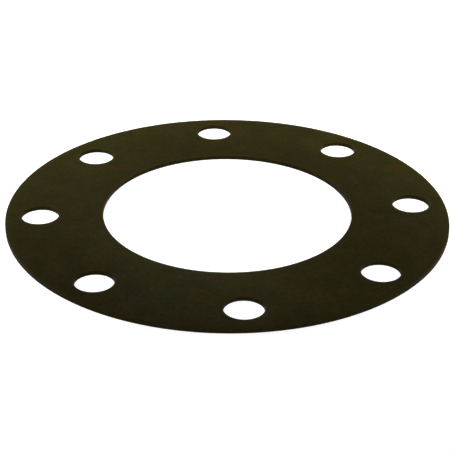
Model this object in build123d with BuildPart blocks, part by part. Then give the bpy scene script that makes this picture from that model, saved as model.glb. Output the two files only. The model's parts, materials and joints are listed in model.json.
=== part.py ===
from build123d import *

import os

# Full-face rubber flange gasket, cut from flat sheet.
#
# The gasket is one piece of solid rubber sheet.  Its outline is as wide as the
# flange, with a round bore for the pipe in the middle and a ring of bolt holes
# near the rim, so that it covers the whole face of both flanges and the bolts
# hold it in place.
#
# One stroke of the cutting die makes the rim, the bore and the bolt holes.  Each
# knife drags the skin of the sheet down where it goes in, which leaves a small
# round all along the edges of the upper face.  It comes out through the lower
# face and leaves that edge crisp.
#
# Frame: millimetres, +Z up.  The gasket lies flat, with the origin at the centre
# of the bore on the lower face.  The first bolt hole is on +X.

# The rubber sheet
sheet_thickness = 3.0

# The bore, which clears the pipe
bore_diameter = 160.0

# The ring of bolt holes, which clear the bolts
bolt_circle_diameter = 240.0
bolt_hole_diameter = 24.0
bolt_hole_count = 8

# The rubber left between a bolt hole and the rim
rim_land = 10.0
outer_diameter = bolt_circle_diameter + bolt_hole_diameter + 2 * rim_land

# The round that the knife leaves where it goes in
knife_entry_radius = 0.2


with BuildPart() as gasket:
    # The outline of the cutting die
    with BuildSketch() as die_outline:
        Circle(outer_diameter / 2)
        Circle(bore_diameter / 2, mode=Mode.SUBTRACT)
        with PolarLocations(bolt_circle_diameter / 2, bolt_hole_count):
            Circle(bolt_hole_diameter / 2, mode=Mode.SUBTRACT)
    extrude(amount=sheet_thickness)

    # The rounded edges, all of which lie on the face that the knife enters
    upper_face = gasket.faces().sort_by(Axis.Z)[-1]
    fillet(upper_face.edges(), radius=knife_entry_radius)

gasket.part.label = "gasket"

os.makedirs("parts", exist_ok=True)
export_step(gasket.part, "parts/gasket.step")
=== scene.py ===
"""A rubber flange gasket, lying flat on a white studio floor.

The gasket is one piece of dark olive-brown sheet rubber.  Its mesh is worked out
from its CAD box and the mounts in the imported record: it has the rim, bore, bolt
holes and thickness of the CAD solid, and the finer marks that the knife leaves
along the cut edges.  Metres, +Z up, as in the frame.
"""

import json
import math

import bpy
import numpy as np
from mathutils import Matrix, Vector


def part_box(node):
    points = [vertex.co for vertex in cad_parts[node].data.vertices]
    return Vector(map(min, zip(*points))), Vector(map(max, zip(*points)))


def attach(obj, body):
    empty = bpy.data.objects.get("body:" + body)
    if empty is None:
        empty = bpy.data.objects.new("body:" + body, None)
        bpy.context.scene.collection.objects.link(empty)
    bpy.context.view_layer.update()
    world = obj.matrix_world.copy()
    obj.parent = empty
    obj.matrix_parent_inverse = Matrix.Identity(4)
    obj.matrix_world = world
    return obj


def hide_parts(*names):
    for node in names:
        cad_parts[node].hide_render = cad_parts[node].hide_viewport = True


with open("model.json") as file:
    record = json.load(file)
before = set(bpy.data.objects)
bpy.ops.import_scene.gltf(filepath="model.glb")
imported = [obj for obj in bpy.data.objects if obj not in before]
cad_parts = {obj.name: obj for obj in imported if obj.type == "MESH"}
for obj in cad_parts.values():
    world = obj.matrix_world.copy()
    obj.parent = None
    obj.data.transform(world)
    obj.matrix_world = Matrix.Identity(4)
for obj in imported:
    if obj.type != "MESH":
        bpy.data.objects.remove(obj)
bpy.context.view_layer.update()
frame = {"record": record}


# ----------------------------------------------------------------------------
# Flange gasket
# One full-face ring of solid rubber sheet.  The sheet is rolled between polished
# calender bowls, which leaves a fine even skin with faint lines along the roll.
# One stroke of a steel-rule die then cuts the rim, the bore and the bolt holes.
# ----------------------------------------------------------------------------

interfaces = {mount["name"]: mount["dims"] for mount in frame["record"]["mounts"]}
gasket_low, gasket_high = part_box("gasket")
mm_per_metre = 1000

# The sizes of the die and of the sheet.  The CAD rim is a polygon with its corners on
# the true circle, so the farthest that it reaches is the rim's radius
rim_radius = max(-gasket_low.x, -gasket_low.y, gasket_high.x, gasket_high.y)
bore_radius = interfaces["pipe_bore"]["r_mm"] / mm_per_metre
bolt_circle_radius = interfaces["bolt_circle"]["pcd_mm"] / (2 * mm_per_metre)
bolt_hole_radius = interfaces["bolt_circle"]["hole_r_mm"] / mm_per_metre
bolt_hole_count = interfaces["bolt_circle"]["count"]
lower_face = gasket_low.z
sheet_thickness = gasket_high.z - gasket_low.z

# The cut edge: the knife draws the upper face down beside it and rounds its edge,
# and the rubber that it squeezes aside springs back, which leaves the wall slightly
# hollow.  The drawn-down part falls off to about a third over draw_width
knife_entry_radius = 0.0002
draw_depth = 0.00025
draw_width = 0.0018
wall_hollow = 0.00008
wall_steps = 8
round_steps = 5

# The mesh of one sector, which holds one bolt hole: how many steps lie along half
# of its rim, along each straight side and along half of its bore.  The rings round
# the hole lie close together beside the cut edges
rim_half_steps = 30
side_steps = 26
bore_half_steps = 14
edge_rings = np.array([0, 0.006, 0.015, 0.027, 0.043, 0.066, 0.1, 0.15, 0.22, 0.31, 0.4])
ring_places = np.concatenate([edge_rings, [0.5], 1 - edge_rings[::-1]])

sector_steps = 2 * (rim_half_steps + side_steps + bore_half_steps)
rim_steps = 2 * rim_half_steps * bolt_hole_count
bore_steps = 2 * bore_half_steps * bolt_hole_count

# Corners at the same place, rounded to weld_distance, are one vertex, and an edge
# that turns by more than crisp_angle is shaded as a crisp one
weld_distance = 0.000002
crisp_angle = math.radians(40)


def distance_to_edge(place):
    """How far a place on the face lies from the nearest line of the die.

    Places are complex numbers, x + iy.  The distance is the least of three: in from
    the rim, out from the bore, and out from the nearest bolt hole, whose centre is
    found by turning the place into the sector of the first hole.
    """
    sector = 2 * math.pi / bolt_hole_count
    radius = np.abs(place)
    angle = np.angle(place)
    angle = angle - sector * np.round(angle / sector)
    from_hole = np.abs(radius * np.exp(1j * angle) - bolt_circle_radius) - bolt_hole_radius
    nearest = np.minimum(np.minimum(rim_radius - radius, radius - bore_radius), from_hole)
    return np.maximum(nearest, 0)


def cut_edge_profile():
    """How far a cut edge stands back from the line of the die, and its height.

    Up the wall the setback is wall_hollow times the sine of a half turn from the
    lower to the upper end.  Over the entry round it follows a quarter circle.
    """
    wall_top = sheet_thickness - draw_depth - knife_entry_radius
    up_wall = np.linspace(0, 1, wall_steps + 1)
    over_round = np.linspace(0, math.pi / 2, round_steps + 1)[1:]
    setback = np.concatenate([
        wall_hollow * np.sin(math.pi * up_wall),
        knife_entry_radius * (1 - np.cos(over_round)),
    ])
    height = np.concatenate([
        wall_top * up_wall,
        wall_top + knife_entry_radius * np.sin(over_round),
    ])
    return setback, lower_face + height


def cut_wall(centre_radius, centre_angle, radius, steps, rubber_side):
    """A cut edge carried round a circle, as a grid of points (step round, step up).

    The circle's centre lies centre_radius from the axis, and centre_angle is the
    direction of that centre and of the first step.  The setback is taken towards
    the rubber: rubber_side is 1 where that lies outside the circle, as at a hole,
    and -1 where it lies inside, as at the rim.
    """
    setback, height = cut_edge_profile()
    turn = centre_angle + np.arange(steps) * (2 * math.pi / steps)
    reach = radius + rubber_side * setback
    x = centre_radius * math.cos(centre_angle) + np.outer(np.cos(turn), reach)
    y = centre_radius * math.sin(centre_angle) + np.outer(np.sin(turn), reach)
    z = np.broadcast_to(height, x.shape)
    return np.stack([x, y, z], axis=-1)


def face_sector(sector_angle, edge_setback, height, edge_drop):
    """One sector of a face, as a grid of points (step round the hole, ring).

    The first ring is the bolt hole's circle and the last is the sector's outline.
    The outline's radius and angle change in straight steps between its corners:
    half of the rim, one side, the bore, the other side, the other half of the rim.
    The rings between them lie on straight lines from the hole to the outline.  The
    face lies at height and falls by edge_drop towards its edges, as an exponential.
    """
    half_sector = math.pi / bolt_hole_count
    outer = rim_radius - edge_setback
    inner = bore_radius + edge_setback
    runs = [rim_half_steps, side_steps, 2 * bore_half_steps, side_steps, rim_half_steps]
    corners = np.cumsum([0] + runs)
    step = np.arange(sector_steps)
    outline_radius = np.interp(step, corners, [outer, outer, inner, inner, outer, outer])
    outline_angle = half_sector * np.interp(step, corners, [0, 1, 1, -1, -1, 0])
    turn = step * (2 * math.pi / sector_steps)
    hole = bolt_circle_radius + (bolt_hole_radius + edge_setback) * np.exp(1j * turn)
    outline = outline_radius * np.exp(1j * outline_angle)
    place = np.outer(hole, 1 - ring_places) + np.outer(outline, ring_places)
    place = place * np.exp(1j * sector_angle)
    from_edge = np.maximum(distance_to_edge(place) - edge_setback, 0)
    fall = edge_drop * np.exp(-from_edge / draw_width)
    return np.stack([place.real, place.imag, height - fall], axis=-1)


def ring_quads(grid, turned_over):
    """The four corners of every quad of a grid whose first direction closes on itself."""
    ahead = np.roll(grid, -1, axis=0)
    corners = [grid[:, :-1], grid[:, 1:], ahead[:, 1:], ahead[:, :-1]]
    if turned_over:
        corners.reverse()
    return np.stack(corners, axis=-2).reshape(-1, 4, 3)


def welded_mesh(name, quads):
    """A mesh of these quads, in which corners at the same place are one vertex.

    A corner's place is rounded to a cell of weld_distance, and the first corner in a
    cell stands for all of them.
    """
    corners = quads.reshape(-1, 3)
    cells = np.round(corners / weld_distance).astype(np.int64)
    _, first, index = np.unique(cells, axis=0, return_index=True, return_inverse=True)
    mesh = bpy.data.meshes.new(name)
    mesh.vertices.add(len(first))
    mesh.vertices.foreach_set("co", corners[first].astype(np.float32).ravel())
    mesh.loops.add(index.size)
    mesh.loops.foreach_set("vertex_index", index.astype(np.int32).ravel())
    mesh.polygons.add(len(quads))
    mesh.polygons.foreach_set("loop_start", np.arange(0, index.size, 4, dtype=np.int32))
    mesh.polygons.foreach_set("use_smooth", np.ones(len(quads), dtype=bool))
    mesh.update(calc_edges=True)
    mesh.validate()
    return mesh


# The upper and lower faces and the bolt holes' walls, sector by sector, and then the
# walls of the bore and the rim, which start on the line between two sectors
skin_quads = []
wall_quads = []
for sector_angle in np.arange(bolt_hole_count) * (2 * math.pi / bolt_hole_count):
    upper = face_sector(
        sector_angle, knife_entry_radius, lower_face + sheet_thickness, edge_drop=draw_depth)
    lower = face_sector(sector_angle, 0, lower_face, edge_drop=0)
    bolt_hole = cut_wall(
        bolt_circle_radius, sector_angle, bolt_hole_radius, sector_steps, rubber_side=1)
    skin_quads.append(ring_quads(upper, turned_over=False))
    skin_quads.append(ring_quads(lower, turned_over=True))
    wall_quads.append(ring_quads(bolt_hole, turned_over=False))
sector_line = -math.pi / bolt_hole_count
bore = cut_wall(0, sector_line, bore_radius, bore_steps, rubber_side=1)
rim = cut_wall(0, sector_line, rim_radius, rim_steps, rubber_side=-1)
wall_quads.append(ring_quads(bore, turned_over=False))
wall_quads.append(ring_quads(rim, turned_over=True))

skin_quads = np.concatenate(skin_quads)
wall_quads = np.concatenate(wall_quads)
gasket_mesh = welded_mesh("flange_gasket", np.concatenate([skin_quads, wall_quads]))
gasket_mesh.set_sharp_from_angle(angle=crisp_angle)
is_wall = np.arange(len(gasket_mesh.polygons)) >= len(skin_quads)
gasket_mesh.polygons.foreach_set("material_index", is_wall.astype(np.int32))

# Every point of the mesh knows how far it lies from the nearest cut edge
points = np.empty(3 * len(gasket_mesh.vertices), dtype=np.float32)
gasket_mesh.vertices.foreach_get("co", points)
points = points.reshape(-1, 3)
point_distance = distance_to_edge(points[:, 0] + 1j * points[:, 1])
edge_distance = gasket_mesh.attributes.new("edge_distance", "FLOAT", "POINT")
edge_distance.data.foreach_set("value", point_distance.astype(np.float32))

gasket = bpy.data.objects.new("flange_gasket", gasket_mesh)
bpy.context.scene.collection.objects.link(gasket)

# The tones of the rubber: the brown and the green of the unevenly mixed compound in
# the skin, two lighter skin tones painted beside the cuts as a highlight, a broad
# one and a narrow one at the edge itself, and the compound in the fresh cut
brown_skin = (0.0236, 0.0172, 0.0030, 1)
green_skin = (0.0184, 0.0183, 0.0038, 1)
# Painted highlight: the next two are lighter skin tones laid along the cut edges, where the edges
# catch the light
broad_painted_highlight = (0.0232, 0.0190, 0.0038, 1)
narrow_painted_highlight = (0.0288, 0.0223, 0.0045, 1)
brown_cut = (0.0280, 0.0214, 0.0060, 1)
green_cut = (0.0252, 0.0218, 0.0064, 1)
# How far from a cut the two bands of painted highlight reach
broad_highlight_width = 0.006
narrow_highlight_width = 0.002

# How far the relief stands out: the grain of the skin, its roll lines as a share of
# the grain, and the drag lines of the cut
grain_relief = 0.00001
roll_line_share = 0.5
drag_relief = 0.00003

# Most of a noise lies between these two values
noise_low = 0.3
noise_high = 0.7


def new_material(name):
    """A material with its nodes, its links and its Principled BSDF."""
    material = bpy.data.materials.new(name)
    material.use_nodes = True
    nodes = material.node_tree.nodes
    return material, nodes, material.node_tree.links, nodes["Principled BSDF"]


def placed_noise(nodes, links, scale, detail, squeeze=(1, 1, 1)):
    """Noise on the object's own coordinates, with about scale waves to the metre.

    squeeze multiplies that number along X, Y and Z, so a small one makes long lines.
    """
    where = nodes.new("ShaderNodeTexCoord")
    mapping = nodes.new("ShaderNodeMapping")
    mapping.inputs["Scale"].default_value = squeeze
    noise = nodes.new("ShaderNodeTexNoise")
    noise.inputs["Scale"].default_value = scale
    noise.inputs["Detail"].default_value = detail
    links.new(where.outputs["Object"], mapping.inputs["Vector"])
    links.new(mapping.outputs["Vector"], noise.inputs["Vector"])
    return noise


def ranged(nodes, links, source, low, high):
    """A noise's value, with noise_low taken to low and noise_high to high."""
    spread = nodes.new("ShaderNodeMapRange")
    spread.inputs["From Min"].default_value = noise_low
    spread.inputs["From Max"].default_value = noise_high
    spread.inputs["To Min"].default_value = low
    spread.inputs["To Max"].default_value = high
    links.new(source, spread.inputs["Value"])
    return spread.outputs["Result"]


def mixed_color(nodes, links, factor, first, second):
    """The first colour where the factor is 0 and the second where it is 1.

    Both may be an output of another node or a plain colour.
    """
    mix = nodes.new("ShaderNodeMix")
    mix.data_type = "RGBA"
    links.new(factor, mix.inputs["Factor"])
    for color, inlet in ((first, mix.inputs["A"]), (second, mix.inputs["B"])):
        if isinstance(color, tuple):
            inlet.default_value = color
        else:
            links.new(color, inlet)
    return mix.outputs["Result"]


def new_group(name, takes, gives):
    """A shader node group, with its nodes, links, inlet node and outlet node.

    takes and gives are pairs of a socket's name and its kind, Color or Float.
    """
    group = bpy.data.node_groups.new(name, "ShaderNodeTree")
    for in_out, sockets in (("INPUT", takes), ("OUTPUT", gives)):
        for socket, kind in sockets:
            group.interface.new_socket(socket, in_out=in_out, socket_type="NodeSocket" + kind)
    source = group.nodes.new("NodeGroupInput")
    target = group.nodes.new("NodeGroupOutput")
    return group, group.nodes, group.links, source, target


def compound_group():
    """The rubber compound, which is never mixed quite evenly.

    Soft blotches run from the brown tone to the green tone.  Broad clouds and fine
    specks make both a little lighter and darker.
    """
    group, nodes, links, source, target = new_group(
        "rubber_compound", [("Brown Tone", "Color"), ("Green Tone", "Color")], [("Color", "Color")])
    blotches = placed_noise(nodes, links, scale=85, detail=3)
    tone = mixed_color(
        nodes, links, ranged(nodes, links, blotches.outputs["Fac"], low=0, high=1),
        source.outputs["Brown Tone"], source.outputs["Green Tone"])
    specks = placed_noise(nodes, links, scale=420, detail=4)
    clouds = placed_noise(nodes, links, scale=48, detail=2)
    speck_light = ranged(nodes, links, specks.outputs["Fac"], low=0.78, high=1.22)
    cloud_light = ranged(nodes, links, clouds.outputs["Fac"], low=0.87, high=1.13)
    lightness = nodes.new("ShaderNodeMath")
    lightness.operation = "MULTIPLY"
    links.new(speck_light, lightness.inputs[0])
    links.new(cloud_light, lightness.inputs[1])
    shade = nodes.new("ShaderNodeVectorMath")
    shade.operation = "SCALE"
    links.new(tone, shade.inputs["Vector"])
    links.new(lightness.outputs["Value"], shade.inputs["Scale"])
    links.new(shade.outputs["Vector"], target.inputs["Color"])
    return group


def grain_group():
    """The fine grain of solid rubber: a close pebble, given as a height from 0 to 1."""
    group, nodes, links, source, target = new_group(
        "rubber_grain", [("Grains Per Metre", "Float")], [("Height", "Float")])
    pebble = placed_noise(nodes, links, scale=1, detail=2)
    links.new(source.outputs["Grains Per Metre"], pebble.inputs["Scale"])
    height = ranged(nodes, links, pebble.outputs["Fac"], low=0, high=1)
    links.new(height, target.inputs["Height"])
    return group


def beside_the_cut_group():
    """A mask that is 1 at a cut edge and fades smoothly to 0 at Width from it."""
    group, nodes, links, source, target = new_group(
        "beside_the_cut", [("Width", "Float")], [("Mask", "Float")])
    distance = nodes.new("ShaderNodeAttribute")
    distance.attribute_name = "edge_distance"
    fade = nodes.new("ShaderNodeMapRange")
    fade.interpolation_type = "SMOOTHSTEP"
    fade.inputs["To Min"].default_value = 1
    fade.inputs["To Max"].default_value = 0
    links.new(distance.outputs["Fac"], fade.inputs["Value"])
    links.new(source.outputs["Width"], fade.inputs["From Max"])
    links.new(fade.outputs["Result"], target.inputs["Mask"])
    return group


rubber_compound = compound_group()
rubber_grain = grain_group()
beside_the_cut = beside_the_cut_group()


def placed_group(nodes, group, **values):
    """A node that holds this shader node group, with its own values.

    A value is named as the group's socket is, in small letters and with underscores.
    """
    node = nodes.new("ShaderNodeGroup")
    node.node_tree = group
    for name, value in values.items():
        node.inputs[name.replace("_", " ").title()].default_value = value
    return node


def relief_from(nodes, links, surface, height, distance):
    """The bump of a surface, which stands out by distance where height is 1."""
    bump = nodes.new("ShaderNodeBump")
    bump.inputs["Strength"].default_value = 1
    bump.inputs["Distance"].default_value = distance
    links.new(height, bump.inputs["Height"])
    links.new(bump.outputs["Normal"], surface.inputs["Normal"])


def calendered_skin():
    """The rolled faces of the sheet: even and matt, with faint lines along the roll.

    Beside the cuts the skin is painted a little lighter, as a highlight: first in a
    broad band and then, nearer to the edge, in a narrow one.
    """
    material, nodes, links, surface = new_material("calendered_skin")
    compound = placed_group(nodes, rubber_compound, brown_tone=brown_skin, green_tone=green_skin)
    broad_highlight_mask = placed_group(nodes, beside_the_cut, width=broad_highlight_width)
    narrow_highlight_mask = placed_group(nodes, beside_the_cut, width=narrow_highlight_width)
    # Painted highlight: the skin is mixed towards lighter tones beside the cut edges
    tone = mixed_color(
        nodes, links, broad_highlight_mask.outputs["Mask"], compound.outputs["Color"], broad_painted_highlight)
    tone = mixed_color(nodes, links, narrow_highlight_mask.outputs["Mask"], tone, narrow_painted_highlight)
    links.new(tone, surface.inputs["Base Color"])
    grain = placed_group(nodes, rubber_grain, grains_per_metre=2600)
    roll_lines = placed_noise(nodes, links, scale=700, detail=2, squeeze=(0.02, 1, 1))
    relief = nodes.new("ShaderNodeMath")
    relief.operation = "MULTIPLY_ADD"
    relief.inputs[1].default_value = roll_line_share
    links.new(roll_lines.outputs["Fac"], relief.inputs[0])
    links.new(grain.outputs["Height"], relief.inputs[2])
    relief_from(nodes, links, surface, relief.outputs["Value"], grain_relief)
    patches = placed_noise(nodes, links, scale=35, detail=3)
    roughness = ranged(nodes, links, patches.outputs["Fac"], low=0.52, high=0.60)
    links.new(roughness, surface.inputs["Roughness"])
    surface.inputs["Specular IOR Level"].default_value = 0.02
    return material


def knife_cut_rubber():
    """The cut walls: fresh compound with fine lines where the knife dragged through."""
    material, nodes, links, surface = new_material("knife_cut_rubber")
    compound = placed_group(nodes, rubber_compound, brown_tone=brown_cut, green_tone=green_cut)
    links.new(compound.outputs["Color"], surface.inputs["Base Color"])
    drag_lines = placed_noise(nodes, links, scale=2200, detail=2, squeeze=(1, 1, 0.03))
    relief_from(nodes, links, surface, drag_lines.outputs["Fac"], drag_relief)
    roughness = ranged(nodes, links, drag_lines.outputs["Fac"], low=0.55, high=0.7)
    links.new(roughness, surface.inputs["Roughness"])
    surface.inputs["Specular IOR Level"].default_value = 0.03
    return material


gasket_mesh.materials.append(calendered_skin())
gasket_mesh.materials.append(knife_cut_rubber())
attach(gasket, "root")
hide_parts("gasket")


# ----------------------------------------------------------------------------
# Floor
# A smooth white studio sweep: a flat disc that curves up into a low wall all
# round.  It shows as white, and still takes the gasket's soft shadow.
# ----------------------------------------------------------------------------

floor_drop = 0.00002
floor_flat_radius = 6 * rim_radius
sweep_radius = 12.0
sweep_bend = 1.5
bend_points = 17
wall_height = 2.2
sweep_steps = 96

# The paper's own glow is less near the gasket, where the lamps add to it
paper_grey = (0.5, 0.5, 0.5, 1)
glow_by_gasket = 0.85
glow_rises_from = 2 * rim_radius
glow_rises_to = 7 * rim_radius


def studio_sweep():
    """The sweep as a profile turned about the axis: flat, a quarter circle, a wall."""
    bend = np.linspace(0, math.pi / 2, bend_points)
    reach = np.concatenate([
        [floor_flat_radius],
        sweep_radius - sweep_bend * (1 - np.sin(bend)),
        [sweep_radius],
    ])
    rise = np.concatenate([[0], sweep_bend * (1 - np.cos(bend)), [wall_height]])
    turn = np.arange(sweep_steps) * (2 * math.pi / sweep_steps)
    x = np.outer(np.cos(turn), reach)
    y = np.outer(np.sin(turn), reach)
    z = np.broadcast_to(lower_face - floor_drop + rise, x.shape)
    return np.stack([x, y, z], axis=-1)


def joined(nodes, links, operation, first, second):
    """One value worked out from two by this operation."""
    node = nodes.new("ShaderNodeMath")
    node.operation = operation
    links.new(first, node.inputs[0])
    links.new(second, node.inputs[1])
    return node.outputs["Value"]


def white_paper():
    """Matt white paper that the camera and the reflections see as white.

    Near the gasket the lamps bring it up to white, so its shadow shows.  Farther
    out the lamps do not reach, and it is white by itself.
    """
    material, nodes, links, surface = new_material("white_paper")
    surface.inputs["Base Color"].default_value = paper_grey
    surface.inputs["Roughness"].default_value = 1
    surface.inputs["Specular IOR Level"].default_value = 0
    surface.inputs["Emission Color"].default_value = (1, 1, 1, 1)
    rays = nodes.new("ShaderNodeLightPath").outputs
    seen = joined(nodes, links, "MAXIMUM", rays["Is Camera Ray"], rays["Is Glossy Ray"])
    shown = joined(nodes, links, "MAXIMUM", seen, rays["Is Transmission Ray"])
    where = nodes.new("ShaderNodeTexCoord")
    reach = nodes.new("ShaderNodeVectorMath")
    reach.operation = "LENGTH"
    links.new(where.outputs["Object"], reach.inputs["Vector"])
    whiteness = nodes.new("ShaderNodeMapRange")
    whiteness.interpolation_type = "SMOOTHSTEP"
    whiteness.inputs["From Min"].default_value = glow_rises_from
    whiteness.inputs["From Max"].default_value = glow_rises_to
    whiteness.inputs["To Min"].default_value = glow_by_gasket
    whiteness.inputs["To Max"].default_value = 1
    links.new(reach.outputs["Value"], whiteness.inputs["Value"])
    glow = joined(nodes, links, "MULTIPLY", shown, whiteness.outputs["Result"])
    links.new(glow, surface.inputs["Emission Strength"])
    return material


# One flat face fills the sweep's innermost ring, and strips of quads go out from it
sweep = studio_sweep()
point = np.arange(sweep[..., 0].size).reshape(sweep.shape[:2])
ahead = np.roll(point, -1, axis=0)
strips = np.stack([point[:, :-1], point[:, 1:], ahead[:, 1:], ahead[:, :-1]], axis=-1)
floor_faces = [point[:, 0].tolist(), *strips.reshape(-1, 4).tolist()]
floor_mesh = bpy.data.meshes.new("floor")
floor_mesh.from_pydata(sweep.reshape(-1, 3).tolist(), [], floor_faces)
floor_mesh.materials.append(white_paper())
floor = bpy.data.objects.new("floor", floor_mesh)
bpy.context.scene.collection.objects.link(floor)


# ----------------------------------------------------------------------------
# Camera
# It stands well back in front of the gasket, looks down on it at a low angle and
# aims a little before its centre.
# ----------------------------------------------------------------------------

view_azimuth = math.radians(-4.756)
view_elevation = math.radians(27.8)
view_roll = math.radians(0.415)
view_distance = 5.994 * rim_radius
field_of_view = math.radians(19.459)
aim_to_right = -0.0053 * rim_radius
aim_beyond = -0.1633 * rim_radius

across = Vector((math.cos(view_azimuth), math.sin(view_azimuth), 0))
away = Vector((-math.sin(view_azimuth), math.cos(view_azimuth), 0))
centre = Vector((0, 0, lower_face + sheet_thickness))
back = math.sin(view_elevation) * Vector((0, 0, 1)) - math.cos(view_elevation) * away
stand = centre + view_distance * back
aim = centre + aim_to_right * across + aim_beyond * away

# The camera's own right and up, turned about its line of sight by the roll
sight = (aim - stand).normalized()
level_right = sight.cross(Vector((0, 0, 1))).normalized()
level_up = level_right.cross(sight)
right = math.cos(view_roll) * level_right + math.sin(view_roll) * level_up
up = math.cos(view_roll) * level_up - math.sin(view_roll) * level_right
turned = Matrix((right, up, -sight)).transposed()

camera = bpy.data.objects.new("camera", bpy.data.cameras.new("camera"))
camera.data.angle = field_of_view
camera.matrix_world = Matrix.Translation(stand) @ turned.to_4x4()
bpy.context.scene.collection.objects.link(camera)
bpy.context.scene.camera = camera
bpy.context.scene.view_settings.view_transform = "Standard"


# ----------------------------------------------------------------------------
# Light
# Two softboxes with grids, high up at the left and the right, light the far side
# most.  Two low ones behind, a weak one in front and the pale room fill in, and a
# small lamp with a snoot lifts the near edge of the bore.
# ----------------------------------------------------------------------------

grid_spread = math.radians(47)
snoot_spread = math.radians(15)
open_spread = math.pi
warm_white = (1, 0.96, 0.82)
cream_white = (1, 0.98, 0.8)
plain_white = (1, 1, 1)
room_tint = (0.98, 1, 1.1, 1)
room_strength = 0.15


def softbox(name, place, target, size, power, spread, color):
    """A square lamp that stands at place and faces target, a place on the floor.

    Both are measured across the view and away from the camera, and place also up.
    """
    lamp = bpy.data.lights.new(name, "AREA")
    lamp.shape = "SQUARE"
    lamp.size = size
    lamp.energy = power
    lamp.spread = spread
    lamp.color = color
    lamp_place = across * place[0] + away * place[1] + Vector((0, 0, place[2]))
    lit_place = across * target[0] + away * target[1]
    holder = bpy.data.objects.new(name, lamp)
    holder.location = lamp_place
    holder.rotation_euler = (lit_place - lamp_place).to_track_quat("-Z", "Y").to_euler()
    bpy.context.scene.collection.objects.link(holder)


softbox("softbox_left", place=(-0.765, 0.08, 1.165), target=(-0.573, 0.435),
        size=0.6, power=17.3, spread=grid_spread, color=warm_white)
softbox("softbox_right", place=(0.765, 0.08, 1.165), target=(0.581, 0.435),
        size=0.6, power=17.6, spread=grid_spread, color=warm_white)
softbox("softbox_back_left", place=(-0.75, 0.7, 0.55), target=(-0.1, 0.1),
        size=0.5, power=2.8, spread=open_spread, color=plain_white)
softbox("softbox_back_right", place=(0.75, 0.7, 0.55), target=(0.1, 0.1),
        size=0.5, power=2.3, spread=open_spread, color=plain_white)
softbox("fill_in_front", place=(0, -1.2, 0.5), target=(0, 0),
        size=0.4, power=3.0, spread=open_spread, color=plain_white)
softbox("snoot_behind", place=(-0.25, 0.42, 0.42), target=(0, -0.055),
        size=0.08, power=0.032, spread=snoot_spread, color=cream_white)

room = bpy.data.worlds.new("room")
room.use_nodes = True
room_light = room.node_tree.nodes["Background"]
room_light.inputs["Color"].default_value = room_tint
room_light.inputs["Strength"].default_value = room_strength
bpy.context.scene.world = room
